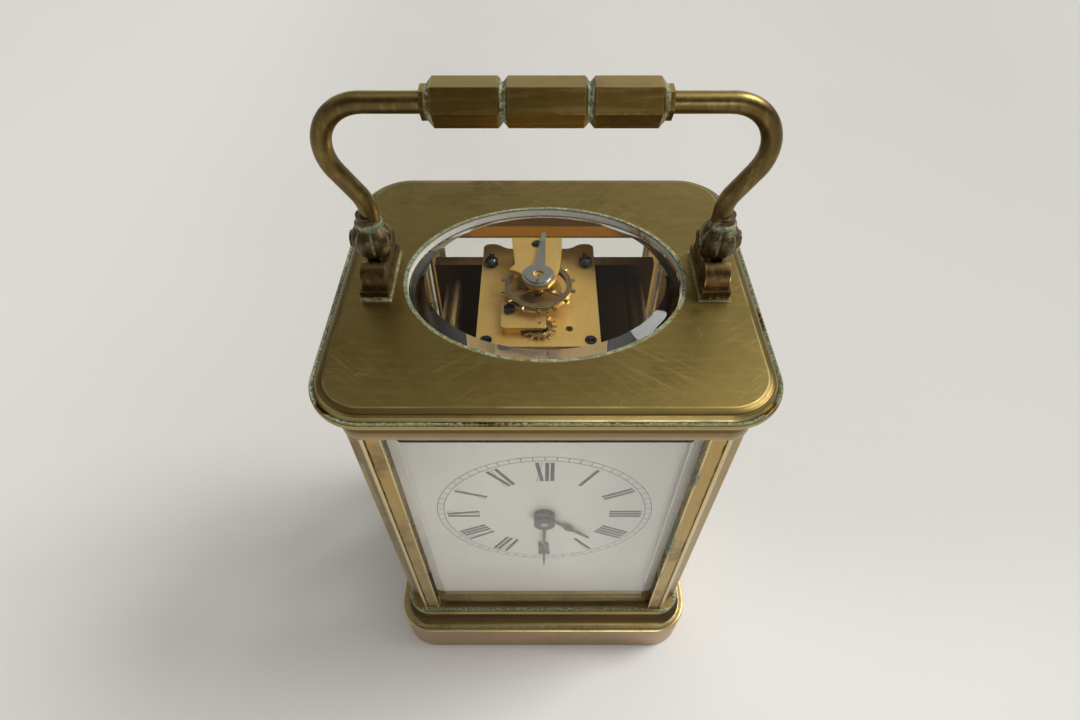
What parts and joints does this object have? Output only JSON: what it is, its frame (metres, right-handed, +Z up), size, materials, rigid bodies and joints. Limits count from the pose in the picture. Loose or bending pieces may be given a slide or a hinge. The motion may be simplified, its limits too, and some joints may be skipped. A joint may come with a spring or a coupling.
{
  "type": "carriage clock",
  "caption": "Glazed brass carriage clock with rounded corner pillars, moulded base and cornice, folding handle, white dial and a visible platform escapement.",
  "frame": {"origin": "middle of the underside of the base", "axes": "+Z up, -Y towards the viewer of the dial, +X to the right of the dial"},
  "size_m": [0.0792, 0.0676, 0.1489],
  "materials": {
    "case_brass": "aged satin",
    "gilt_brass": "matte gilt",
    "wheel_brass": "polished",
    "steel": "brushed",
    "blued_steel": "blued and polished",
    "enamel": "glossy",
    "clear_glass": "bevelled"
  },
  "bodies": {
    "case": {"base_plinth": "case_brass", "pillar_front_left": "case_brass", "pillar_front_right": "case_brass", "pillar_rear_left": "case_brass", "pillar_rear_right": "case_brass", "top_cornice": "case_brass", "top_glass": "clear_glass", "front_glass": "clear_glass", "left_glass": "clear_glass", "right_glass": "clear_glass", "pillar_screws": "blued_steel", "movement_screws": "blued_steel", "handle_foot_left": "case_brass", "handle_foot_right": "case_brass", "foot_screws": "blued_steel", "dial": "enamel", "dial_feet": "wheel_brass", "front_plate": "gilt_brass", "back_plate": "gilt_brass", "movement_pillars": "gilt_brass", "plate_screws": "blued_steel", "click_spring": "blued_steel", "platform_plate": "gilt_brass", "platform_screws": "blued_steel", "escape_potence": "gilt_brass", "escape_cock": "gilt_brass", "cock_screws": "blued_steel", "balance_cock": "gilt_brass", "hairspring": "blued_steel", "hairspring_stud": "steel"},
    "door": {"rear_door_frame": "case_brass", "rear_glass": "clear_glass", "door_knob": "case_brass", "door_pins": "steel"},
    "handle": {"handle_knuckle_left": "case_brass", "handle_knuckle_right": "case_brass", "handle_rod_left": "case_brass", "handle_rod_right": "case_brass", "handle_grip": "case_brass", "handle_pins": "case_brass"},
    "minute": {"minute_hand": "blued_steel", "cannon_pinion": "steel", "centre_arbor": "steel"},
    "motion": {"minute_wheel": "wheel_brass"},
    "hour": {"hour_hand": "blued_steel", "hour_wheel": "wheel_brass"},
    "contrate": {"contrate_wheel": "wheel_brass"},
    "third": {"third_wheel": "wheel_brass"},
    "centre": {"centre_wheel": "wheel_brass"},
    "barrel": {"barrel_drum": "wheel_brass", "barrel_cap": "wheel_brass", "mainspring": "steel"},
    "escape": {"escape_wheel": "wheel_brass"},
    "winding": {"barrel_arbor": "steel", "ratchet_wheel": "steel"},
    "click_arm": {"click": "steel"},
    "lever": {"pallet_lever": "steel"},
    "balance": {"balance_wheel": "wheel_brass"},
    "regulator": {"regulator_index": "steel"}
  },
  "joints": [
    {"name": "door_hinge", "type": "hinge", "parent": "case", "child": "door", "pos_m": [-0.0266, 0.0285, 0.0588], "axis": [0, 0, 1], "range_deg": [0, 90]},
    {"name": "handle_pivot", "type": "hinge", "parent": "case", "child": "handle", "pos_m": [0, 0, 0.1208], "axis": [1, 0, 0], "range_deg": [-88, 0]},
    {"name": "minute_hand_turn", "type": "hinge", "parent": "case", "child": "minute", "pos_m": [0, -0.0257, 0.0645], "axis": [0, 1, 0], "continuous": true},
    {"name": "motion_wheel_turn", "type": "hinge", "parent": "case", "child": "motion", "pos_m": [0.00566, -0.011, 0.05884], "axis": [0, 1, 0], "continuous": true},
    {"name": "hour_hand_turn", "type": "hinge", "parent": "case", "child": "hour", "pos_m": [0, -0.0246, 0.0645], "axis": [0, 1, 0], "continuous": true},
    {"name": "contrate_turn", "type": "hinge", "parent": "case", "child": "contrate", "pos_m": [-0.0011, 0, 0.0896], "axis": [0, 1, 0], "continuous": true},
    {"name": "third_turn", "type": "hinge", "parent": "case", "child": "third", "pos_m": [0.00276, 0.004, 0.07782], "axis": [0, 1, 0], "continuous": true},
    {"name": "centre_turn", "type": "hinge", "parent": "case", "child": "centre", "pos_m": [0, 0.011, 0.0645], "axis": [0, 1, 0], "continuous": true},
    {"name": "barrel_turn", "type": "hinge", "parent": "case", "child": "barrel", "pos_m": [-0.004, 0.002, 0.04746], "axis": [0, 1, 0], "continuous": true},
    {"name": "escape_turn", "type": "hinge", "parent": "case", "child": "escape", "pos_m": [-0.0011, -0.00465, 0.1015], "axis": [0, 0, 1], "continuous": true},
    {"name": "winding_turn", "type": "hinge", "parent": "case", "child": "winding", "pos_m": [-0.004, 0.02, 0.04746], "axis": [0, 1, 0], "continuous": true},
    {"name": "click_pivot", "type": "hinge", "parent": "case", "child": "click_arm", "pos_m": [0.00459, 0.0192, 0.05129], "axis": [0, 1, 0], "range_deg": [0, 7], "stiffness_Nm_per_rad": 0.002},
    {"name": "lever_pivot", "type": "hinge", "parent": "case", "child": "lever", "pos_m": [-0.0011, -0.0001, 0.1019], "axis": [0, 0, 1], "range_deg": [-5, 5]},
    {"name": "balance_swing", "type": "hinge", "parent": "case", "child": "balance", "pos_m": [-0.0013, 0.0042, 0.1033], "axis": [0, 0, 1], "range_deg": [-270, 270], "stiffness_Nm_per_rad": 0.0000046},
    {"name": "regulator_turn", "type": "hinge", "parent": "case", "child": "regulator", "pos_m": [-0.0013, 0.0042, 0.1067], "axis": [0, 0, 1], "range_deg": [-15, 15]}
  ],
  "couplings": [
    {"joint": "motion_wheel_turn", "follows": "minute_hand_turn", "ratio": -0.33333},
    {"joint": "hour_hand_turn", "follows": "minute_hand_turn", "ratio": 0.083333},
    {"joint": "third_turn", "follows": "contrate_turn", "ratio": -0.14815},
    {"joint": "centre_turn", "follows": "contrate_turn", "ratio": 0.019753},
    {"joint": "barrel_turn", "follows": "contrate_turn", "ratio": -0.0032922},
    {"joint": "escape_turn", "follows": "contrate_turn", "ratio": -6.8571}
  ]
}
